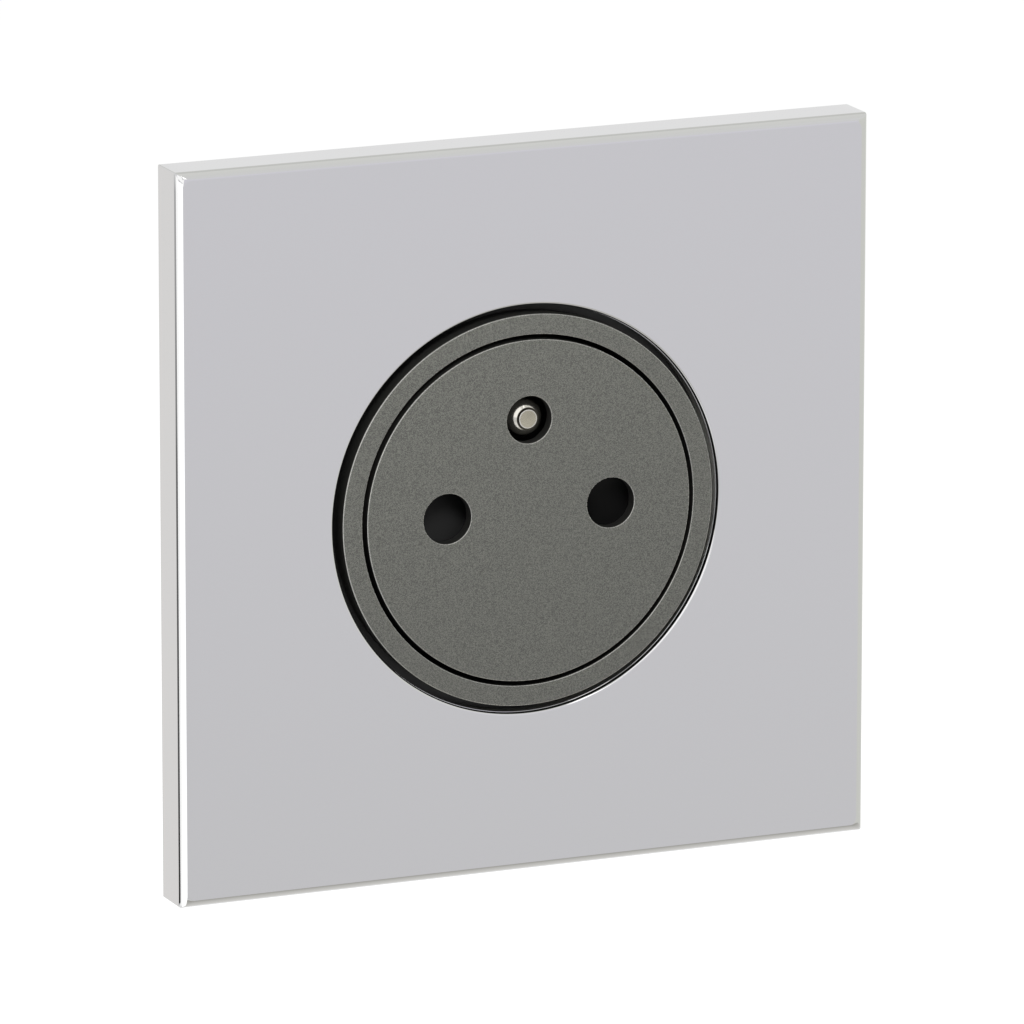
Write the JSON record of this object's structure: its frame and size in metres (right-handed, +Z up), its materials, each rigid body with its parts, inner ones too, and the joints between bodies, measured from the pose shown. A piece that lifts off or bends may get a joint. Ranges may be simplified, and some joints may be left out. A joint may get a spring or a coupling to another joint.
{
  "type": "earthed wall socket",
  "caption": "Earthed wall socket: square polished metal plate with a flush round face that sinks when a plug goes in, shuttered pin holes and a recessed earth pin.",
  "frame": {"origin": "centre of the cover plate in the plane of its back edge, which is the wall's surface and the centre of the screw circle", "axes": "+Z up, +Y into the wall so that the face looks along -Y into the room, +X to the right seen from the room"},
  "size_m": [0.08, 0.0394, 0.08],
  "materials": {
    "polished_plate": "polished",
    "graphite": "satin metallic paint",
    "frame_plastic": "satin",
    "black_plastic": "satin",
    "shutter_plastic": "satin",
    "grey_plastic": "satin",
    "button_plastic": "satin",
    "zinc_steel": "zinc plated",
    "spring_steel": "bright",
    "brass": "bright",
    "nickel": "nickel plated"
  },
  "bodies": {
    "housing": {"cover_plate": "polished_plate", "plate_clip_frame": "frame_plastic", "support_frame": "zinc_steel", "trim_ring": "graphite", "front_body": "black_plastic", "rear_housing": "grey_plastic", "line_contact": "brass", "neutral_contact": "brass", "earth_pin": "nickel", "earth_bar": "brass", "line_clamp_spring": "spring_steel", "neutral_clamp_spring": "spring_steel", "earth_clamp_spring": "spring_steel", "return_spring": "spring_steel", "housing_screws": "zinc_steel"},
    "face": {"face_disc": "graphite", "shutter_carrier": "black_plastic", "shutter_spring": "spring_steel"},
    "shutter": {"safety_shutter": "shutter_plastic"},
    "line_button": {"line_release_button": "button_plastic"},
    "neutral_button": {"neutral_release_button": "button_plastic"},
    "earth_button": {"earth_release_button": "button_plastic"}
  },
  "joints": [
    {"name": "face_slide", "type": "slide", "parent": "housing", "child": "face", "axis": [0, 1, 0], "range_m": [0, 0.015], "stiffness_N_per_m": 400, "springref_m": -0.01, "deforming": ["return_spring"]},
    {"name": "shutter_turn", "type": "hinge", "parent": "face", "child": "shutter", "pos_m": [0, 0, 0], "axis": [0, -1, 0], "range_deg": [0, 40], "stiffness_Nm_per_rad": 0.01, "springref_deg": -17.19, "deforming": ["shutter_spring"]},
    {"name": "line_button_press", "type": "slide", "parent": "housing", "child": "line_button", "axis": [0, -1, 0], "range_m": [0, 0.0018], "stiffness_N_per_m": 800, "springref_m": -0.002, "deforming": ["line_clamp_spring"]},
    {"name": "neutral_button_press", "type": "slide", "parent": "housing", "child": "neutral_button", "axis": [0, -1, 0], "range_m": [0, 0.0018], "stiffness_N_per_m": 800, "springref_m": -0.002, "deforming": ["neutral_clamp_spring"]},
    {"name": "earth_button_press", "type": "slide", "parent": "housing", "child": "earth_button", "axis": [0, -1, 0], "range_m": [0, 0.0018], "stiffness_N_per_m": 800, "springref_m": -0.002, "deforming": ["earth_clamp_spring"]}
  ]
}
